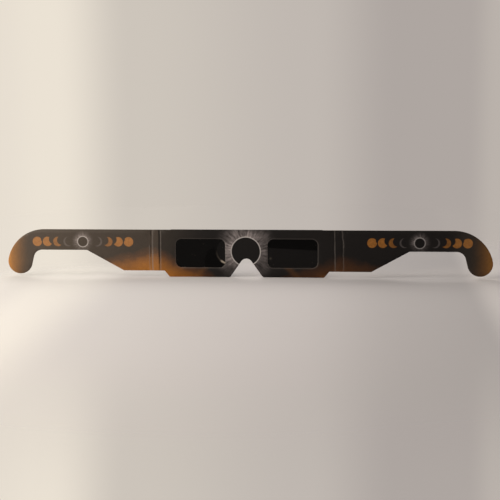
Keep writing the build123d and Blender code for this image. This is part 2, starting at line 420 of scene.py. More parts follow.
@named
class StudioLook(bpy.types.PropertyGroup):
    """Floor, background, lamps and camera."""

    floor: colour("Colour of the floor at the picture's left edge", "#d6d3cf")
    back: colour("Colour behind the floor at the picture's left edge", "#e7ded1")
    key: colour("Colour of the lamp on the left", "#fff1e0")
    top: colour("Colour of the large lamp above", "#fff8f0")
    key_power: power("Power of the lamp on the left", 1.7)
    top_power: power("Power of the large lamp above", 3.6)
    rear_power: power("Power of the large lamp behind", 2.6)
    world_level: share("Strength of the even light all round", 0.16)
    key_place: spot("Where the lamp on the left stands", (-0.36, -0.46, 0.10))
    top_place: spot("Where the large lamp above hangs", (-0.48, -0.12, 0.48))
    rear_place: spot("Where the large lamp behind stands", (-0.30, 0.52, 0.50))
    aim: spot("Point at which the lamps look", (-0.05, 0, 0))
    floor_radius: length("Radius of the round floor", 3000.0)
    camera_lens: bpy.props.FloatProperty(
        description="Focal length of the lens, in millimetres", default=85.0, min=1
    )
    camera_place: spot("Where the camera stands", (0.0770, -0.8335, 0.1368))
    camera_turn: bpy.props.FloatVectorProperty(
        description="Pitch, roll and yaw of the camera from a level view along +Y",
        default=(radians(-8.87), radians(-0.46), radians(5.10)), unit="ROTATION", subtype="EULER"
    )


GROUPS = {
    "eclipse_panel": PanelSizes,
    "eclipse_crease": CreaseSizes,
    "eclipse_temple": TempleSizes,
    "eclipse_film": FilmSizes,
    "eclipse_print": PrintLook,
    "eclipse_studio": StudioLook,
}


# Modelling in edit mode


def primitive(name, add_mesh, centre, size, **options):
    """Primitive mesh of a size about a centre, in edit mode."""
    bpy.ops.object.select_all(action="DESELECT")
    add_mesh(size=MM, location=centre, **options)
    piece = bpy.context.object
    piece.name = piece.data.name = name
    bpy.ops.object.transform_apply(location=True, rotation=True, scale=True)
    bpy.ops.object.mode_set(mode="EDIT")
    bpy.ops.transform.resize(value=size / MM, center_override=centre)
    return piece


def start(name, y):
    """New mesh in edit mode that holds one vertex, in the plane at Y."""
    piece = primitive(name, bpy.ops.mesh.primitive_plane_add, Vector((0, y, 0)), Vector((MM, MM, MM)))
    bpy.ops.mesh.select_mode(type="VERT")
    bpy.ops.mesh.select_all(action="SELECT")
    bpy.ops.mesh.merge(type="CENTER")
    return piece


def rounded(corners):
    """Strokes of a closed outline through corners of (x, z, radius)."""
    strokes = []
    for i, (x, z, radius) in enumerate(corners):
        here = Vector((x, z))
        if radius == 0:
            strokes.append((here, None, 0))
            continue
        before = (Vector(corners[i - 1][:2]) - here).normalized()
        after = (Vector(corners[(i + 1) % len(corners)][:2]) - here).normalized()
        half = before.angle(after) / 2
        first = here + before * (radius / tan(half))
        centre = here + (before + after).normalized() * (radius / sin(half))
        turn = pi - 2 * half
        if after.cross(before) < 0:
            turn = -turn
        strokes.append((first, None, 0))
        strokes.append((first, centre, turn))
    return strokes


def draw(strokes):
    """Draws a closed outline from the selected vertex: straight strokes are extruded and arcs are spun."""
    piece = bpy.context.edit_object
    first = here = strokes[0][0]
    bpy.ops.transform.translate(value=(first.x, 0, first.y))
    for place, centre, turn in strokes:
        if (place - here).length > SAME_PLACE:
            bpy.ops.mesh.extrude_vertices_move(
                TRANSFORM_OT_translate={"value": (place.x - here.x, 0, place.y - here.y)}
            )
            here = place
        if centre is None:
            continue
        arm = here - centre
        steps = max(3, ceil(abs(turn) * arm.length / ARC_CHORD))
        y = next(v.co.y for v in bmesh.from_edit_mesh(piece.data).verts if v.select)
        bpy.ops.mesh.spin(steps=steps, angle=turn, center=(centre.x, y, centre.y), axis=(0, 1, 0))
        here = centre + Matrix.Rotation(turn, 2) @ arm
    if (here - first).length > SAME_PLACE:
        pick("VERT", lambda v: len(v.link_edges) == 1)
        bpy.ops.mesh.edge_face_add()
    bpy.ops.mesh.select_all(action="SELECT")
    bpy.ops.mesh.remove_doubles(threshold=SAME_PLACE)


def pick(kind, test):
    """Selects what passes the test, and nothing else. Kind is VERT, EDGE or FACE."""
    bpy.ops.mesh.select_mode(type=kind)
    bpy.ops.mesh.select_all(action="DESELECT")
    mesh = bmesh.from_edit_mesh(bpy.context.edit_object.data)
    items = {"VERT": mesh.verts, "EDGE": mesh.edges, "FACE": mesh.faces}[kind]
    for item in items:
        if test(item):
            item.select_set(True)
    mesh.select_flush_mode()
    bmesh.update_edit_mesh(bpy.context.edit_object.data)


def slice_up(axis, low, high, count):
    """Divides the piece into equal parts by cuts across one axis."""
    for i in range(1, count):
        place, normal = Vector((0, 0, 0)), Vector((0, 0, 0))
        place[axis] = low + (high - low) * i / count
        normal[axis] = 1
        bpy.ops.mesh.select_all(action="SELECT")
        bpy.ops.mesh.bisect(plane_co=place, plane_no=normal)


def thicken(thickness):
    """Gives the flat piece its thickness, towards the wearer."""
    bpy.ops.mesh.select_all(action="SELECT")
    bpy.ops.mesh.extrude_region_move(TRANSFORM_OT_translate={"value": (0, thickness, 0)})
    bpy.ops.mesh.select_all(action="SELECT")
    bpy.ops.mesh.normals_make_consistent(inside=False)


def round_cut_edges(depth, is_seam):
    """Sinks the board's outermost edges a little, but not at a seam, where a neighbour goes on."""
    mesh = bmesh.from_edit_mesh(bpy.context.edit_object.data)
    middle = sum(v.co.y for v in mesh.verts) / len(mesh.verts)
    for vertex in mesh.verts:
        walls = [face for face in vertex.link_faces if abs(face.normal.y) < SIDE_LEAN]
        if any(not is_seam(face.calc_center_median()) for face in walls):
            vertex.co.y += depth if vertex.co.y < middle else -depth
    bmesh.update_edit_mesh(bpy.context.edit_object.data)


def solid(piece, is_seam, thickness):
    """Gives a filled outline its border strip, cells, thickness and rounded cut edges."""
    rounding = bpy.context.scene.eclipse_panel.cut_rounding
    pick("FACE", lambda face: True)
    bpy.ops.mesh.normals_make_consistent(inside=False)
    bpy.ops.mesh.inset(thickness=rounding)
    piece.update_from_editmode()
    for axis in (0, 2):
        reach = [v.co[axis] for v in piece.data.vertices]
        low, high = min(reach), max(reach)
        slice_up(axis, low, high, ceil((high - low) / GRID_CELL))
    thicken(thickness)
    round_cut_edges(CUT_SINK * rounding, is_seam)
    bpy.ops.object.mode_set(mode="OBJECT")


def shape(piece, rule):
    """Moves each vertex to where the rule puts it."""
    for vertex in piece.data.vertices:
        vertex.co = rule(vertex.co.copy())
    piece.data.update()


def select_only(piece):
    bpy.ops.object.select_all(action="DESELECT")
    piece.select_set(True)
    bpy.context.view_layer.objects.active = piece


def both_sides(piece, name):
    """The piece on the right and a copy on the left, with its own mesh, by side."""
    select_only(piece)
    bpy.ops.object.duplicate()
    copy = bpy.context.object
    copy.name = copy.data.name = "left_" + name
    bpy.ops.object.mode_set(mode="EDIT")
    bpy.ops.mesh.select_all(action="SELECT")
    bpy.ops.transform.resize(value=(-1, 1, 1), center_override=(0, 0, 0))
    bpy.ops.mesh.normals_make_consistent(inside=False)
    bpy.ops.object.mode_set(mode="OBJECT")
    return {"left": copy, "right": piece}


def wave(x, z, span):
    """Slow unevenness between about -1 and 1 at a place on the sheet."""
    return 2 * noise.noise(Vector((x / span, NOISE_SLICE, z / span)))


def ease(value):
    """0 below 0 and 1 above 1, with a smooth rise between."""
    value = min(max(value, 0), 1)
    return value * value * (3 - 2 * value)


def bell(distance, half_width):
    """1 on a line or point and less beside it, down to nothing at about twice the half width."""
    return exp(-(distance / half_width) ** 2)


def outside_window(x, z, margin=0):
    """Distance from the edge of the nearest window, made larger by the margin; less than 0 inside it."""
    sizes = bpy.context.scene.eclipse_panel
    across = abs(abs(x) - WINDOW_CENTRE.x) - sizes.window_width / 2 + sizes.window_radius
    up = abs(z - WINDOW_CENTRE.z) - sizes.window_height / 2 + sizes.window_radius
    beyond = hypot(max(across, 0), max(up, 0)) + min(max(across, up), 0)
    return beyond - sizes.window_radius - margin


def keep_values(piece, name, values):
    """Keeps a number for each vertex, for the piece's material to read."""
    attribute = piece.data.attributes.new(name, "FLOAT", "POINT")
    attribute.data.foreach_set("value", values)


def remember_place(piece):
    """Keeps each vertex's place on the unfolded sheet, in millimetres, for the print to follow."""
    attribute = piece.data.attributes.new("sheet_place", "FLOAT_VECTOR", "POINT")
    attribute.data.foreach_set("vector", [c / MM for v in piece.data.vertices for c in v.co])


def dress(piece, materials, index_of=lambda polygon: 0):
    """Gives the piece its materials, each face by the rule, and smooth shading."""
    for material in materials:
        piece.data.materials.append(material)
    for polygon in piece.data.polygons:
        polygon.material_index = index_of(polygon)
    select_only(piece)
    bpy.ops.object.shade_smooth_by_angle(angle=SMOOTH_ANGLE)


def board_side(polygon, facing=-1):
    """0 on the printed side, which looks along Y as facing says, 1 on the reverse and 2 at the cut edges."""
    lean = polygon.normal.y * facing
    return 0 if lean > SIDE_LEAN else 1 if lean < -SIDE_LEAN else 2


def fit(piece, node, body):
    """Hides the imported solid that the piece stands for, and parents the piece to the body that carries it.
    """
    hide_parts(node)
    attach(piece, body)


# Materials

# Sockets of a Mix node that blends colours
SHARE, UNDER, OVER, MIXED = 0, 6, 7, 2


def add_node(tree, kind, inputs, out=0, **settings):
    """Adds a node with its settings and links, and gives one of its outputs. Inputs are named or in order."""
    node = tree.nodes.new("ShaderNode" + kind)
    for name, value in settings.items():
        setattr(node, name, value)
    for name, value in inputs.items() if isinstance(inputs, dict) else enumerate(inputs):
        if isinstance(value, bpy.types.NodeSocket):
            tree.links.new(value, node.inputs[name])
        else:
            node.inputs[name].default_value = value
    return node.outputs[out] if len(node.outputs) else node


def material_of(name, surface):
    """The material of that name, made on first use. The surface rule adds the nodes of its shader."""
    if name not in bpy.data.materials:
        tree = empty_tree(bpy.data.materials.new(name))
        add = partial(add_node, tree)
        add("OutputMaterial", {"Surface": surface(add)})
    return bpy.data.materials[name]


def empty_tree(owner):
    """Node tree of a material or world, with no nodes."""
    owner.use_nodes = True
    owner.node_tree.nodes.clear()
    return owner.node_tree


def object_place(add):
    """Place on the object in millimetres."""
    return add("Mapping", {"Vector": add("TexCoord", (), "Object"), "Scale": (1 / MM,) * 3})


def layered(add, picture, layers):
    """Prints layers over a picture. Each has the share in which it covers and its colour."""
    for cover, ink in layers:
        picture = add("Mix", {SHARE: cover, UNDER: picture, OVER: ink}, MIXED, data_type="RGBA")
    return picture


def disc(add, place, centre, radius, inside=1.0):
    """One value inside a disc on the sheet and the other outside it, with a soft rim."""
    soft = INK_SOFT / MM
    away = add("VectorMath", (place, centre), "Value", operation="DISTANCE")
    rim = (away, radius - soft, radius + soft, inside, 1 - inside)
    return add("MapRange", rim, interpolation_type="SMOOTHSTEP")


def corona(add, place, centre, inner, outer, fineness):
    """Uneven rays of light from the rim of a covered sun, which fall off quickly."""
    arm = add("VectorMath", (place, centre), operation="SUBTRACT")
    away = add("VectorMath", (arm,), "Value", operation="LENGTH")
    near = add("MapRange", (away, inner, outer, 1.0, 0.0))
    light = add("Math", (near, CORONA_FALL), operation="POWER")
    heading = add("VectorMath", (arm,), operation="NORMALIZE")
    # The centre gives each corona its own rays, and a little of the arm bends and breaks them
    course = add("VectorMath", (heading, centre), operation="ADD")
    course = add("VectorMath", (arm, (RAY_BREAK / outer,) * 3, course), operation="MULTIPLY_ADD")
    rays = add("TexNoise", {"Vector": course, "Scale": fineness, "Detail": 5.0, "Roughness": 0.72})
    rays = add("MapRange", (rays, 0.36, 0.64, 0.12, 1.1))
    # Streamers and gaps of about 8 mm
    spread = add("VectorMath", (arm, PATCH_PLACE), operation="ADD")
    patches = add("TexNoise", {"Vector": spread, "Scale": 0.13, "Detail": 2.0})
    patches = add("MapRange", (patches, 0.38, 0.6, 0.55, 1.3))
    lean = add("VectorMath", (heading, CORONA_LEAN), "Value", operation="DOT_PRODUCT")
    lean = add("MapRange", (lean, -1.0, 1.0, *LEAN_LEVEL))
    for factor in (patches, rays, lean):
        light = add("Math", (light, factor), operation="MULTIPLY")
    return light


def glow_layers(add, x, side, z, cloud):
    """Brown and orange glow at the lower corners of the front, and across the ear hooks."""
    looks = bpy.context.scene.eclipse_print
    middle, bottom = looks.glow_x / MM, looks.glow_z / MM
    outward = add("MapRange", (side, middle, middle + looks.glow_outward / MM))
    inward = add("MapRange", (side, middle, middle - looks.glow_inward / MM))
    up = add("MapRange", (z, bottom, bottom + looks.glow_up / MM))
    spread = add("Math", (outward, inward), operation="MAXIMUM")
    spread = add("Math", (spread, up), operation="ADD")
    spread = add("Math", (cloud, GLOW_CLOUDS, spread), operation="MULTIPLY_ADD")
    # The glow reaches less far on the right half, and is darker there
    reach = add("MapRange", (x, *THIN_SPAN, *GLOW_REACH))
    glow = add("MapRange", (spread, reach, GLOW_FULL))
    level = add("MapRange", (x, *THIN_SPAN, *GLOW_LEVEL), interpolation_type="SMOOTHSTEP")
    # Painted sheen: past the left inner crease the glow is made stronger, standing in for the lamp's glare on
    # the strip
    crossed = add("MapRange", (x, *STRONG_SPAN, *STRONG_LEVEL))
    for factor in (level, crossed):
        glow = add("Math", (glow, factor), operation="MULTIPLY")
    brown = add("MapRange", (glow, *BROWN_RANGE))
    orange = add("MapRange", (glow, *ORANGE_RANGE))
    along = add("Math", (cloud, HOOK_CLOUDS, side), operation="MULTIPLY_ADD")
    ends = [place / MM + HOOK_CLOUDS / 2 for place in (looks.hook_x, looks.hook_end_x)]
    hook = add("Math", (add("MapRange", (along, *ends)), HOOK_CURVE), operation="POWER")
    level = add("MapRange", (x, *THIN_SPAN, *HOOK_LEVEL))
    hook = add("Math", (hook, level), operation="MULTIPLY")
    # A faint ray slants across the board under each window
    beside = add("Math", (side, z), operation="ADD")
    beside = add("Math", (beside, looks.ray_place / MM), operation="SUBTRACT")
    beside = add("Math", (beside,), operation="ABSOLUTE")
    ray = (beside, 0.0, looks.ray_width / MM, RAY_LEVEL, 0.0)
    ray = add("MapRange", ray, interpolation_type="SMOOTHSTEP")
    ray = add("Math", (ray, add("MapRange", (z, *RAY_TOP))), operation="MULTIPLY")
    return [(brown, looks.brown), (orange, looks.orange), (hook, looks.hook), (ray, looks.sun)]


def sun_layers(add, x, z):
    """A row of eclipse phases on each temple, and covered suns in the rows' middles and on the bridge."""
    looks = bpy.context.scene.eclipse_print
    layers = []
    flat = add("CombineXYZ", {"X": x, "Z": z})
    # Uneven ink of about 2 mm
    mottle = add("TexNoise", {"Vector": flat, "Scale": 0.5, "Detail": 4.0})
    mottle = add("MapRange", (mottle, 0.35, 0.65, 0.7, 1.0))
    # Each row is mirrored about the covered sun in its middle
    along = add("Math", (x, looks.print_shift / MM), operation="SUBTRACT")
    along = add("Math", (along,), operation="ABSOLUTE")
    along = add("Math", (along, looks.row_x / MM), operation="SUBTRACT")
    row = add("CombineXYZ", {"X": add("Math", (along,), operation="ABSOLUTE"), "Z": z})
    radius = looks.sun_radius / MM
    # The suns are a little darker on the right
    thinner = add("MapRange", (x, *THIN_SPAN, *SUN_LEVEL))
    for phase, strength in enumerate(CRESCENT_INK):
        sun = ((looks.sun_start + phase * looks.sun_pitch) / MM, 0.0, looks.row_z / MM)
        gap = (MOON_GAP + MOON_STEP * phase) / MM
        moon = (sun[0] - gap * cos(MOON_SLANT), 0.0, sun[2] + gap * sin(MOON_SLANT))
        crescent = disc(add, row, sun, radius)
        for factor in (disc(add, row, moon, MOON_SIZE * radius, inside=0.0), mottle, thinner, strength):
            crescent = add("Math", (crescent, factor), operation="MULTIPLY")
        layers.append((crescent, looks.sun if phase else looks.halo))
    rim = looks.rim / MM
    # The pale inks are darker towards the right end
    level = add("MapRange", (x, *PALE_SPAN, *PALE_LEVEL))
    covered_suns = [(looks.disc_x, looks.disc_z, looks.disc_radius, looks.disc_reach, *BRIDGE_CORONA)]
    for sign in SIDES.values():
        across = sign * looks.row_x + looks.print_shift
        covered_suns.append((across, looks.row_z, looks.covered_radius, looks.covered_reach, *TEMPLE_CORONA))
    for across, up, radius, reach, fineness, strength, rim_ink in covered_suns:
        centre = (across / MM, 0.0, up / MM)
        radius /= MM
        light = corona(add, flat, centre, radius, reach / MM, fineness)
        for factor in (strength, level):
            light = add("Math", (light, factor), operation="MULTIPLY")
        bright = disc(add, flat, centre, radius + rim)
        for factor in (mottle, level, rim_ink):
            bright = add("Math", (bright, factor), operation="MULTIPLY")
        dark = disc(add, flat, centre, radius - rim)
        layers += [(light, looks.halo), (bright, looks.ring), (dark, looks.ground)]
    return layers


def printed_design(add, place, has_suns):
    """Printed design: black ground, glow, suns where there are any, and painted sheen laid over it."""
    looks = bpy.context.scene.eclipse_print
    x = add("SeparateXYZ", {"Vector": place}, "X")
    z = x.node.outputs["Z"]
    side = add("Math", (x,), operation="ABSOLUTE")
    # Clouds of about 10 mm in the ink
    cloud = add("TexNoise", {"Vector": place, "Scale": 0.09, "Detail": 6.0, "Roughness": 0.68})
    layers = [(cloud, looks.ground_light)] + glow_layers(add, x, side, z, cloud)
    if has_suns:
        layers += sun_layers(add, x, z)
    # Painted sheen: a pale veil over the print, strongest on the left temple, standing in for a lamp's glare
    # there
    veil = 0.0
    for begin, end, amount in VEIL_STEPS:
        step = add("MapRange", (x, begin, end), interpolation_type="SMOOTHSTEP")
        veil = add("Math", (step, amount, veil), operation="MULTIPLY_ADD")
    layers.append((veil, looks.veil))
    return layered(add, tuple(looks.ground), layers)


def matt_surface(add, tint, height, rough, specular, strength, depth):
    """Shader whose relief follows the height, to a depth in millimetres."""
    relief = add("Bump", {"Strength": strength, "Distance": depth * MM, "Height": height})
    return add("BsdfPrincipled", {
        "Base Color": tint, "Roughness": rough, "Specular IOR Level": specular, "Normal": relief,
    })


def ink_surface(add, place, picture, rough):
    """Shader of offset ink under a thin varnish: board fibres in its relief, slight changes of gloss."""
    # Fibres of about 0.8 mm, coarser than real ones so that they show
    fibres = add("TexNoise", {"Vector": place, "Scale": 1.3, "Detail": 6.0, "Roughness": 0.7})
    tone = add("MapRange", (fibres, 0.3, 0.7, 0.86, 1.1))
    toned = add("VectorMath", {0: picture, "Scale": tone}, operation="SCALE")
    gloss = add("MapRange", {"Value": fibres, "To Min": rough - 0.06, "To Max": rough + 0.08})
    return matt_surface(add, toned, fibres, rough=gloss, specular=0.13, strength=0.12, depth=0.02)


def printed_paperboard(add):
    # Coated paperboard, offset printed and varnished: deep inks with a soft satin sheen
    place = object_place(add)
    # Pale line round the windows: partly rubbed ink, partly a painted highlight of the rim
    rubbed = add("Attribute", (), "Fac", attribute_name="edge_wear")
    worn = bpy.context.scene.eclipse_print.worn
    picture = layered(add, printed_design(add, place, True), [(rubbed, worn)])
    return ink_surface(add, place, picture, rough=0.4)


def printed_flap_board(add):
    # The same coated board on the flap, which carries only the ground colour and the glow
    place = object_place(add)
    return ink_surface(add, place, printed_design(add, place, False), rough=0.42)


def scored_paperboard(add):
    # Coated paperboard pressed by a score and folded: painted shade darkens the pressed lines, and pale marks
    # beside them are partly board showing through cracked varnish and partly a painted highlight on the
    # groove's lit slope. The print follows the sheet as it bends
    looks = bpy.context.scene.eclipse_print
    place = add("Attribute", (), "Vector", attribute_name="sheet_place")
    pressed = add("Attribute", (), "Fac", attribute_name="score_pressed")
    wear = add("Attribute", (), "Fac", attribute_name="score_wear")
    # Cracks and chips of about 1 mm
    cracks = add("TexNoise", {"Vector": place, "Scale": 0.9, "Detail": 6.0, "Roughness": 0.75})
    cracks = add("MapRange", (cracks, 0.34, 0.6, 0.35, 1.0))
    shown = add("Math", (wear, cracks), operation="MULTIPLY")
    # Painted shade in the pressed lines, and pale marks that are partly cracked varnish and partly painted
    # highlight
    marks = [(pressed, looks.pressed), (shown, looks.worn)]
    return ink_surface(add, place, layered(add, printed_design(add, place, True), marks), rough=0.5)


def board_reverse(add):
    # Uncoated side of the same board: off-white, cloudy and dull, with short fibres
    place = object_place(add)
    # Clouds of about 3 mm and fibres of about 0.5 mm, coarser than real ones so that they show
    cloud = add("TexNoise", {"Vector": place, "Scale": 0.35, "Detail": 6.0, "Roughness": 0.62})
    fibre = add("TexNoise", {"Vector": place, "Scale": 2.2, "Detail": 5.0, "Roughness": 0.7})
    specks = add("MapRange", (fibre, 0.5, 0.8, 0.0, 0.7))
    tint = layered(add, linear("#d9d4ca"), [(cloud, linear("#ebe7df")), (specks, linear("#b7b0a3"))])
    return matt_surface(add, tint, fibre, rough=0.9, specular=0.3, strength=0.3, depth=0.04)


def board_core(add):
    # Cut edge of bleached board: pressed layers of pulp, a little soiled by handling. A layer is about 0.1 mm
    # thick, and its streaks are about 1.7 mm long
    sheets = add("Mapping", {"Vector": object_place(add), "Scale": (0.6, 9.0, 0.6)})
    pulp = add("TexNoise", {"Vector": sheets, "Scale": 1.0, "Detail": 5.0})
    tint = layered(add, linear("#8d857b"), [(pulp, linear("#cfc9be"))])
    return matt_surface(add, tint, pulp, rough=0.95, specular=0.2, strength=0.4, depth=0.05)


def filter_film(add):
    # Black polymer filter film: smooth and glossy, nearly black, with lighter patches of painted reflection,
    # and pale where it is creased, partly stress whitening and partly a painted glint
    place = object_place(add)
    # Dust specks of about 0.4 mm, a few to the square centimetre
    dust = add("TexVoronoi", {"Vector": place, "Scale": 0.32})
    specks = add("MapRange", (dust, 0.09, 0.05, 0.0, 0.06))
    # Painted reflection: lighter patches standing in for what the glossy film mirrors
    haze = add("Attribute", (), "Fac", attribute_name="film_haze")
    # Pale marks: stress whitening along the dent, partly a painted glint of the lamp, and dust
    stress = add("Attribute", (), "Fac", attribute_name="film_stress")
    marks = add("Math", (stress, specks), operation="MAXIMUM")
    tint = layered(add, linear("#030303"), [(haze, linear("#151414")), (marks, linear("#c4b8a8"))])
    # Rubbed patches of about 8 mm, as wide as a fingertip's trace
    rubbed = add("TexNoise", {"Vector": place, "Scale": 0.12, "Detail": 4.0})
    gloss = add("MapRange", {"Value": rubbed, "To Min": 0.08, "To Max": 0.22})
    return add("BsdfPrincipled", {"Base Color": tint, "Roughness": gloss, "Specular IOR Level": 0.06})


def dried_glue(add):
    # Cold board glue, dried: cream and uneven, with lumps of about 1 mm
    lumps = add("TexNoise", {"Vector": object_place(add), "Scale": 0.9, "Detail": 4.0})
    tint = layered(add, linear("#d9d0b9"), [(lumps, linear("#efe9d8"))])
    return matt_surface(add, tint, lumps, rough=0.55, specular=0.5, strength=0.4, depth=0.05)


def backdrop(add, x, edges, first, tints):
    """Colour of the backdrop, shaded in soft steps from its left edge to its right edge."""
    across = add("MapRange", (x, *edges))
    layers = []
    for (begin, end, _, _), tint in zip(BACKDROP_SHADES, tints):
        step = add("MapRange", (across, begin, end), interpolation_type="SMOOTHSTEP")
        layers.append((step, linear(tint)))
    return layered(add, tuple(first), layers)


def board_materials(printed=None):
    """Materials of a board piece: its print, its plain reverse and its bare core."""
    return (
        printed or material_of("offset_printed_paperboard", printed_paperboard),
        material_of("uncoated_board_reverse", board_reverse),
        material_of("die_cut_board_core", board_core),
    )


# Operators


class ECLIPSE_OT_stage(bpy.types.Operator):
    """Floor, background, lamps and camera"""

    bl_idname = "eclipse.stage"
    bl_label = "Stage"

    def execute(self, context):
        looks = context.scene.eclipse_studio
        self.add_floor(looks)
        self.add_world(looks)
        self.add_lamp("window_light", looks.key_place, looks.key_power, looks.key, looks.aim)
        self.add_lamp("ceiling_light", looks.top_place, looks.top_power, looks.top, looks.aim)
        self.add_lamp("rear_light", looks.rear_place, looks.rear_power, looks.top, looks.aim)
        self.add_camera(context, looks)
        return {"FINISHED"}

    def add_floor(self, looks):
        """Plain floor that fades into the background, soonest behind the glasses."""
        bpy.ops.object.select_all(action="DESELECT")
        bpy.ops.mesh.primitive_circle_add(
            vertices=FLOOR_CORNERS, radius=looks.floor_radius, fill_type="NGON",
            location=(0, 0, FRONT_LOW.z - FLOOR_GAP)
        )
        floor = bpy.context.object
        floor.name = "studio_floor"

        def surface(add):
            place = object_place(add)
            away = add("VectorMath", (place,), "Value", operation="LENGTH")
            far = add("MapRange", (away, *FLOOR_FADE), interpolation_type="SMOOTHSTEP")
            x = add("SeparateXYZ", {"Vector": place}, "X")
            depth = add("Math", (x, REAR_SLOPE, x.node.outputs["Y"]), operation="MULTIPLY_ADD")
            behind = (depth, *REAR_FADE, 0.0, REAR_LEVEL)
            behind = add("MapRange", behind, interpolation_type="SMOOTHSTEP")
            fade = add("Math", (far, behind), operation="MAXIMUM")
            tints = [floor_tint for _, _, _, floor_tint in BACKDROP_SHADES]
            matte = add("BsdfDiffuse", {"Color": backdrop(add, x, FLOOR_EDGES, looks.floor, tints)})
            return add("MixShader", (fade, matte, add("BsdfTransparent", ())))

        floor.data.materials.append(material_of("pale_studio_floor", surface))

    def add_world(self, looks):
        """Backdrop for what looks at it or mirrors it, and a faint even light for all else."""
        world = bpy.data.worlds.new("studio_world")
        bpy.context.scene.world = world
        add = partial(add_node, empty_tree(world))
        x = add("SeparateXYZ", {"Vector": add("TexCoord", (), "Generated")}, "X")
        tints = [back_tint for _, _, back_tint, _ in BACKDROP_SHADES]
        seen = add("Background", (backdrop(add, x, BACK_EDGES, looks.back, tints), 1.0))
        light = add("Background", ((1, 1, 1, 1), looks.world_level))
        camera_ray = add("LightPath", (), "Is Camera Ray")
        rays = camera_ray.node.outputs
        shiny = add("Math", (camera_ray, rays["Is Glossy Ray"]), operation="ADD")
        direct = add("Math", (shiny, rays["Is Transmission Ray"]), operation="ADD", use_clamp=True)
        add("OutputWorld", {"Surface": add("MixShader", (direct, light, seen))})

    def add_lamp(self, name, place, power, tint, aim):
        """Soft lamp that looks at the left half of the glasses."""
        bpy.ops.object.light_add(type="AREA", location=place)
        lamp = bpy.context.object
        lamp.name = name
        lamp.data.shape = "RECTANGLE"
        lamp.data.size, lamp.data.size_y = LAMP_SIZES[name]
        lamp.data.energy = power
        lamp.data.color = tint[:3]
        lamp.rotation_euler = (Vector(aim) - Vector(place)).to_track_quat("-Z", "Y").to_euler()

    def add_camera(self, context, looks):
        pitch, roll, yaw = looks.camera_turn
        bpy.ops.object.camera_add()
        camera = bpy.context.object
        camera.name = "photo_camera"
        camera.data.lens = looks.camera_lens
        camera.data.sensor_width = SENSOR_WIDTH
        camera.data.clip_start = NEAREST
        camera.matrix_world = (
            Matrix.Translation(looks.camera_place)
            @ Matrix.Rotation(yaw, 4, "Z")
            @ Matrix.Rotation(pi / 2 + pitch, 4, "X")
            @ Matrix.Rotation(roll, 4, "Z")
        )
        context.scene.camera = camera
        context.scene.view_settings.view_transform = "Standard"


def add_window(y, oversize, sizes, x):
    """Rings of faces round a window, and the face that fills it. The rings let its edge roll inward."""
    centre = (x, y, WINDOW_CENTRE.z)
    margin = sizes.roll_width + oversize
    width, height = sizes.window_width + 2 * margin, sizes.window_height + 2 * margin
    corner = sizes.window_radius + margin
    bpy.ops.mesh.select_all(action="DESELECT")
    bpy.ops.mesh.select_mode(type="VERT")
    bpy.ops.mesh.primitive_plane_add(size=MM, location=centre, rotation=(pi / 2, 0, 0))
    bpy.ops.transform.resize(value=(width / MM, 1, height / MM), center_override=centre)
    bpy.ops.mesh.bevel(affect="VERTICES", offset=corner, segments=CORNER_CELLS, clamp_overlap=False)
    bpy.ops.mesh.select_mode(type="FACE")
    for step in ROLL_STEPS:
        bpy.ops.mesh.inset(thickness=step * sizes.roll_width)


def panel_corners(sizes, side_corners, bottom, setback):
    """Corners of a panel with a nose notch, from its outer corners on the right, mirrored to the left."""
    half_angle = Vector((sizes.notch_sharp_height, sizes.notch_width / 2)).angle(Vector((1, 0)))
    sharp_z = sizes.notch_top_radius * (1 / sin(half_angle) - 1) + setback / sin(half_angle)
    half_width = (sharp_z - bottom) * tan(half_angle)
    right = side_corners + [(half_width, bottom, sizes.notch_corner_radius)]
    middle = [(0, sharp_z, sizes.notch_top_radius + setback)]
    left = [(-x, z, radius) for x, z, radius in reversed(right)]
    return right + middle + left


def panel_wave(x, z):
    """Slow unevenness of the glued panel, which ends before the creases."""
    sizes = bpy.context.scene.eclipse_panel
    fade = ease((INNER_X - abs(x)) / sizes.flat_margin - WAVE_START)
    return sizes.unevenness * fade * wave(x, z, sizes.wave_span)


def board_panel(name, low, high, corners, oversize, facing, is_seam):
    """Board solid with both windows. Their edges roll inward on the side that facing names along Y."""
    sizes = bpy.context.scene.eclipse_panel
    piece = start(name, low.y)
    draw(rounded(corners))
    centres = [Vector((side * WINDOW_CENTRE.x, low.y, WINDOW_CENTRE.z)) for side in SIDES.values()]
    for centre in centres:
        add_window(low.y, oversize, sizes, centre.x)
    pick("EDGE", lambda edge: len(edge.link_faces) < 2)
    bpy.ops.mesh.fill(use_beauty=True)
    pick("FACE", lambda face: len(face.verts) > CORNER_CELLS and any(
        (face.calc_center_median() - centre).length < MM for centre in centres
    ))
    bpy.ops.mesh.delete(type="FACE")
    solid(piece, is_seam, high.y - low.y)
    middle = (low.y + high.y) / 2

    def bend(place):
        if facing * (place.y - middle) > 0:
            away = min(max(outside_window(place.x, place.z, oversize) / sizes.roll_width, 0), 1)
            place.y -= facing * sizes.roll_depth * (1 - away) ** ROLL_SHAPE
        place.y += panel_wave(place.x, place.z)
        return place

    shape(piece, bend)
    remember_place(piece)
    return piece


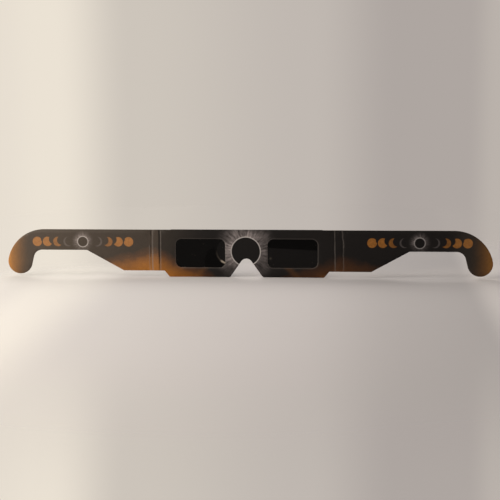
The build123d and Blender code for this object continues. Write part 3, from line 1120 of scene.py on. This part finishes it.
class ECLIPSE_OT_front_panel(bpy.types.Operator):
    """Printed front panel with its windows and nose notch"""

    bl_idname = "eclipse.front_panel"
    bl_label = "Front panel"

    def execute(self, context):
        sizes = context.scene.eclipse_panel
        end = INNER_X - context.scene.eclipse_crease.half_width
        corners = panel_corners(sizes, [
            (FLAP_HIGH.x, FOLD_SEAT_Z, 0),
            (FLAP_HIGH.x, FRONT_HIGH.z, 0),
            (end, FRONT_HIGH.z, 0),
            (end, STRIP_LOW.z, 0),
            (sizes.shoulder_bottom + sizes.shoulder_run, STRIP_LOW.z, sizes.shoulder_radius),
            (sizes.shoulder_bottom, FRONT_LOW.z, sizes.shoulder_radius),
        ], FRONT_LOW.z, 0)

        def is_seam(place):
            at_crease = abs(abs(place.x) - end) < SAME_PLACE
            at_fold = abs(place.z - FOLD_SEAT_Z) < SAME_PLACE and abs(place.x) < FLAP_HIGH.x
            return at_crease or at_fold

        piece = board_panel("printed_front_panel", FRONT_LOW, FRONT_HIGH, corners, 0, -1, is_seam)
        # Pale line round each window: partly rubbed ink, partly a painted highlight of the rim
        rims = [outside_window(v.co.x, v.co.z) - sizes.rub_place for v in piece.data.vertices]
        keep_values(piece, "edge_wear", [sizes.rub * bell(rim, sizes.rub_width) for rim in rims])
        dress(piece, board_materials(), board_side)
        fit(piece, "front_ply", "front")
        return {"FINISHED"}


class ECLIPSE_OT_rear_flap(bpy.types.Operator):
    """Flap behind the films, and the fold along the top edge that carries it"""

    bl_idname = "eclipse.rear_flap"
    bl_label = "Rear flap and fold"

    def execute(self, context):
        sizes = context.scene.eclipse_panel
        corners = panel_corners(sizes, [
            (FLAP_HIGH.x, FOLD_SEAT_Z, 0),
            (FLAP_HIGH.x, FLAP_LOW.z, sizes.flap_radius),
        ], FLAP_LOW.z, sizes.flap_setback)

        def is_seam(place):
            return abs(place.z - FOLD_SEAT_Z) < SAME_PLACE

        flap = board_panel(
            "printed_rear_flap", FLAP_LOW, FLAP_HIGH, corners, sizes.flap_oversize, 1, is_seam
        )
        printed = material_of("offset_printed_flap_board", printed_flap_board)
        dress(flap, board_materials(printed), partial(board_side, facing=1))
        fit(flap, "back_flap", "front")
        self.add_fold()
        return {"FINISHED"}

    def add_fold(self):
        """Section of the board at the front's top edge, spun over to the flap."""
        centre = Vector((0, (FRONT_LOW.y + FRONT_HIGH.y) / 2, FOLD_SEAT_Z))
        size = Vector((2 * FLAP_HIGH.x, FRONT_HIGH.y - FRONT_LOW.y, MM))
        fold = primitive("folded_brow_edge", bpy.ops.mesh.primitive_plane_add, centre, size)
        slice_up(0, -FLAP_HIGH.x, FLAP_HIGH.x, ceil(2 * FLAP_HIGH.x / GRID_CELL))
        bpy.ops.mesh.select_all(action="SELECT")
        bpy.ops.mesh.spin(steps=FOLD_CELLS, angle=pi, center=(0, 0, FOLD_SEAT_Z), axis=(1, 0, 0))
        bpy.ops.mesh.select_all(action="SELECT")
        bpy.ops.mesh.remove_doubles(threshold=SAME_PLACE)
        bpy.ops.mesh.normals_make_consistent(inside=False)
        bpy.ops.object.mode_set(mode="OBJECT")
        shape(fold, lambda place: place + Vector((0, panel_wave(place.x, FOLD_SEAT_Z), 0)))
        remember_place(fold)

        def layer(polygon):
            if abs(polygon.normal.x) > SIDE_LEAN:
                return 2
            return int(hypot(polygon.center.y, polygon.center.z - FOLD_SEAT_Z) <= FLAP_HIGH.y / 2)

        dress(fold, board_materials(), layer)
        fit(fold, "top_fold", "front")


class ECLIPSE_OT_films(bpy.types.Operator):
    """Two filter films, held between the plies"""

    bl_idname = "eclipse.films"
    bl_label = "Filter films"

    def execute(self, context):
        sizes = context.scene.eclipse_film
        for side_name, side in SIDES.items():
            low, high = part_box(side_name + "_filter_film")
            film = self.add_film(side_name + "_film_sheet", low, high)
            rest = [vertex.co.copy() for vertex in film.data.vertices]

            def bend(place):
                inside = -outside_window(place.x, place.z)
                buckle = sizes.buckle * wave(place.x, place.z, sizes.buckle_span)
                ridge = self.dent(place, sizes)[0] * ease(inside / sizes.dent_width) if side < 0 else 0
                place.y += buckle * ease(inside / sizes.free_edge) - sizes.dent_height * ridge
                place.y += panel_wave(place.x, place.z)
                return place

            shape(film, bend)
            keep_values(film, "film_stress", [self.stress(place, side, sizes) for place in rest])
            keep_values(film, "film_haze", [self.haze(place, side, sizes) for place in rest])
            dress(film, [material_of("black_polymer_filter_film", filter_film)])
            fit(film, side_name + "_filter_film", "front")
        return {"FINISHED"}

    def add_film(self, name, low, high):
        size = high - low
        centre = Vector(((low.x + high.x) / 2, low.y, (low.z + high.z) / 2))
        film = primitive(
            name, bpy.ops.mesh.primitive_grid_add, centre, Vector((size.x, MM, size.z)),
            rotation=(pi / 2, 0, 0), x_subdivisions=round(size.x / FILM_CELL),
            y_subdivisions=round(size.z / FILM_CELL)
        )
        thicken(size.y)
        bpy.ops.object.mode_set(mode="OBJECT")
        return film

    def dent(self, place, sizes):
        """Ridge along an arc: its height from 0 to 1, and how far along it the place is, from 0 to 1."""
        arm = Vector((place.x - sizes.dent_x, place.z - sizes.dent_z))
        turn = degrees(atan2(arm.y, arm.x)) % 360
        along = (turn - DENT_START) / (DENT_END - DENT_START)
        ends = ease(DENT_RISE * along) * ease(DENT_FALL * (DENT_OVER - along))
        return ends * bell(arm.length - sizes.dent_radius, RIDGE_WIDTH * sizes.dent_width), along

    def stress(self, place, side, sizes):
        """Where the film is pale, partly stress whitening and partly a painted glint: most at the sharp lower
        end of the dent, and in a rubbed speck.
        """
        if side > 0:
            away = hypot(place.x - sizes.speck_x, place.z - sizes.speck_z)
            return SPECK_LEVEL * bell(away, sizes.speck_radius)
        ridge, along = self.dent(place, sizes)
        shares = (1, ease(along), ease((along - SHARP_START) / SHARP_RUN))
        return ridge ** 2 * sum(level * part for level, part in zip(STRESS_LEVELS, shares))

    def haze(self, place, side, sizes):
        """How much painted reflection lies on the film, between 0 where it is left dark and 1."""
        if side > 0:
            border = sizes.band_z - BAND_SLOPE * (place.x - WINDOW_CENTRE.x)
            return 1 - ease((place.z - border) / BAND_SOFT + 0.5)
        if hypot(place.x - sizes.dent_x, place.z - sizes.dent_z) < sizes.dent_radius:
            return HAZE_INSIDE
        across = (place.x - sizes.hollow_x) / sizes.hollow_width
        up = (place.z - sizes.hollow_z) / sizes.hollow_height
        return HAZE_OUTSIDE * ease((hypot(across, up) - HOLLOW_RIM) / RIM_RUN)


class ECLIPSE_OT_strips(bpy.types.Operator):
    """Narrow strips between the creases"""

    bl_idname = "eclipse.strips"
    bl_label = "Hinge strips"

    def execute(self, context):
        half = context.scene.eclipse_crease.half_width
        inner, outer = INNER_X + half, OUTER_X - half
        strip = start("right_strip_board", FRONT_LOW.y)
        top, bottom = STRIP_HIGH.z, STRIP_LOW.z
        draw(rounded([(inner, top, 0), (outer, top, 0), (outer, bottom, 0), (inner, bottom, 0)]))
        bpy.ops.mesh.edge_face_add()

        def is_seam(place):
            return min(abs(place.x - inner), abs(place.x - outer)) < SAME_PLACE

        solid(strip, is_seam, STRIP_HIGH.y - STRIP_LOW.y)
        for side_name, piece in both_sides(strip, "strip_board").items():
            remember_place(piece)
            dress(piece, board_materials(), board_side)
            fit(piece, side_name + "_hinge_strip", side_name + "_strip")
        return {"FINISHED"}


class ECLIPSE_OT_temples(bpy.types.Operator):
    """Temples with their ear hooks"""

    bl_idname = "eclipse.temples"
    bl_label = "Temples"

    def execute(self, context):
        sizes = context.scene.eclipse_temple
        begin = OUTER_X + context.scene.eclipse_crease.half_width
        temple = start("right_temple_board", FRONT_LOW.y)
        draw(self.outline(sizes, begin))
        bpy.ops.mesh.edge_face_add()
        solid(temple, lambda place: abs(place.x - begin) < SAME_PLACE, TEMPLE_HIGH.y - TEMPLE_LOW.y)

        def bend(place):
            """The temple waves slowly out of its plane, more towards its free end."""
            rise = ease((abs(place.x) - begin) / sizes.bow_start)
            phase = BOW_PHASES["right" if place.x > 0 else "left"]
            swell = (1 + sin(abs(place.x) / sizes.bow_span + phase)) / 2
            ripple = RIPPLE_HEIGHT * wave(place.x, place.z, RIPPLE_SPAN * sizes.bow_span) ** 2
            place.y += sizes.bow * rise * (swell + ripple)
            return place

        for side_name, piece in both_sides(temple, "temple_board").items():
            remember_place(piece)
            dress(piece, board_materials(), board_side)
            shape(piece, bend)
            fit(piece, side_name + "_temple", side_name + "_temple")
        return {"FINISHED"}

    def outline(self, sizes, begin):
        """Strokes from the top of the crease round the foot, the slope, the ear arc, the tip and the back."""
        top = TEMPLE_HIGH.z
        arm_bottom = top - sizes.arm_height
        slope_start = OUTER_X + sizes.foot
        tip = Vector((TEMPLE_HIGH.x - sizes.tip_radius, arm_bottom - sizes.hook_drop))
        # The hook's inner side leans outward and runs smoothly into the round tip
        side = tip + Matrix.Rotation(sizes.hook_slant, 2) @ Vector((-sizes.tip_radius, 0))
        corner_x = side.x - (arm_bottom - side.y) * tan(sizes.hook_slant)
        apart = sizes.back_radius - sizes.tip_radius
        back_z = top - sizes.back_radius
        back = Vector((tip.x - sqrt(apart ** 2 - (tip.y - back_z) ** 2), back_z))
        meeting = (tip - back).angle(Vector((1, 0)))
        foot = rounded([
            (begin, top, 0),
            (begin, STRIP_LOW.z, 0),
            (slope_start, STRIP_LOW.z, sizes.slope_radius),
            (slope_start + sizes.slope, arm_bottom, sizes.slope_radius),
            (corner_x, arm_bottom, sizes.ear_radius),
            (side.x, side.y, 0),
        ])
        return foot + [
            (side, tip, pi + meeting - sizes.hook_slant),
            (tip + Matrix.Rotation(meeting, 2) @ Vector((sizes.tip_radius, 0)), back, pi / 2 - meeting),
        ]


class ECLIPSE_OT_creases(bpy.types.Operator):
    """Scored creases between the front, the strips and the temples"""

    bl_idname = "eclipse.creases"
    bl_label = "Creases"

    def execute(self, context):
        sizes = context.scene.eclipse_crease
        for side_name, side in SIDES.items():
            strip, temple = side_name + "_strip", side_name + "_temple"
            self.add_crease(side_name + "_inner", side * INNER_X, "front", strip, sizes)
            self.add_crease(side_name + "_outer", side * OUTER_X, strip, temple, sizes)
        return {"FINISHED"}

    def add_crease(self, name, axis, body, next_body, sizes):
        size = Vector((2 * sizes.half_width, STRIP_HIGH.y - STRIP_LOW.y, STRIP_HIGH.z - STRIP_LOW.z))
        centre = Vector((axis, (STRIP_LOW.y + STRIP_HIGH.y) / 2, (STRIP_LOW.z + STRIP_HIGH.z) / 2))
        piece = primitive(name + "_score", bpy.ops.mesh.primitive_cube_add, centre, size)
        slice_up(0, axis - sizes.half_width, axis + sizes.half_width, CREASE_CELLS[0])
        slice_up(2, STRIP_LOW.z, STRIP_HIGH.z, CREASE_CELLS[1])
        bpy.ops.object.mode_set(mode="OBJECT")
        remember_place(piece)

        def wander(place):
            return KINK_SHARES[name] * sizes.kink * wave(axis, place.z, sizes.kink_span)

        def marks_at(place, marks):
            """How strongly the marks show at a place on the printed face."""
            if place.y > centre.y:
                return 0
            here = Vector(((place.x - axis - wander(place)) / MM, place.z / MM))
            shown = 0
            for x, z, end_x, end_z, half_width, strength in marks:
                begin, end = Vector((x, z)), Vector((end_x, end_z))
                run = end - begin
                along = min(max((here - begin).dot(run) / run.length_squared, 0), 1)
                shown = max(shown, strength * bell((here - begin - along * run).length, half_width))
            return shown

        for attribute, marks in (("score_wear", PALE_MARKS), ("score_pressed", DARK_MARKS)):
            keep_values(piece, attribute, [marks_at(v.co, marks[name]) for v in piece.data.vertices])

        def press(place):
            beside = place.x - axis - wander(place) - GROOVE_PLACES[name] * MM
            edge = ease((sizes.half_width - abs(place.x - axis)) / sizes.fade)
            depth = sizes.groove_depth if place.y < centre.y else sizes.bead_height
            place.y += edge * depth * bell(beside, sizes.groove_width)
            return place

        shape(piece, press)
        printed = material_of("scored_printed_paperboard", scored_paperboard)
        dress(piece, board_materials(printed), board_side)
        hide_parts(name + "_crease")
        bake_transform(piece)


class ECLIPSE_OT_glue(bpy.types.Operator):
    """Finish of the glue lines between the plies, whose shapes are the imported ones"""

    bl_idname = "eclipse.glue"
    bl_label = "Glue"

    def execute(self, context):
        glue = material_of("dried_board_glue", dried_glue)
        for name, node in frame["nodes"].items():
            if name.startswith("glue_"):
                for slot in node.material_slots:
                    slot.material = glue
        return {"FINISHED"}


class ECLIPSE_PT_panel(bpy.types.Panel):
    """Buttons for the pieces, in the order in which they are made"""

    bl_idname = "ECLIPSE_PT_panel"
    bl_label = "Eclipse Glasses"
    bl_space_type = "VIEW_3D"
    bl_region_type = "UI"
    bl_category = "Eclipse Glasses"

    def draw(self, context):
        for operator in OPERATORS:
            self.layout.operator(operator.bl_idname)


OPERATORS = (
    ECLIPSE_OT_stage,
    ECLIPSE_OT_front_panel,
    ECLIPSE_OT_rear_flap,
    ECLIPSE_OT_films,
    ECLIPSE_OT_strips,
    ECLIPSE_OT_temples,
    ECLIPSE_OT_creases,
    ECLIPSE_OT_glue,
)


def register():
    for item in (*GROUPS.values(), *OPERATORS, ECLIPSE_PT_panel):
        bpy.utils.register_class(item)
    for name, group in GROUPS.items():
        setattr(bpy.types.Scene, name, bpy.props.PointerProperty(type=group))


def unregister():
    for name in GROUPS:
        delattr(bpy.types.Scene, name)
    for item in (ECLIPSE_PT_panel, *reversed(OPERATORS), *GROUPS.values()):
        bpy.utils.unregister_class(item)


def main():
    register()
    bpy.ops.eclipse.stage()
    bpy.ops.eclipse.front_panel()
    bpy.ops.eclipse.rear_flap()
    bpy.ops.eclipse.films()
    bpy.ops.eclipse.strips()
    bpy.ops.eclipse.temples()
    bpy.ops.eclipse.creases()
    bpy.ops.eclipse.glue()


if __name__ == "__main__":
    main()
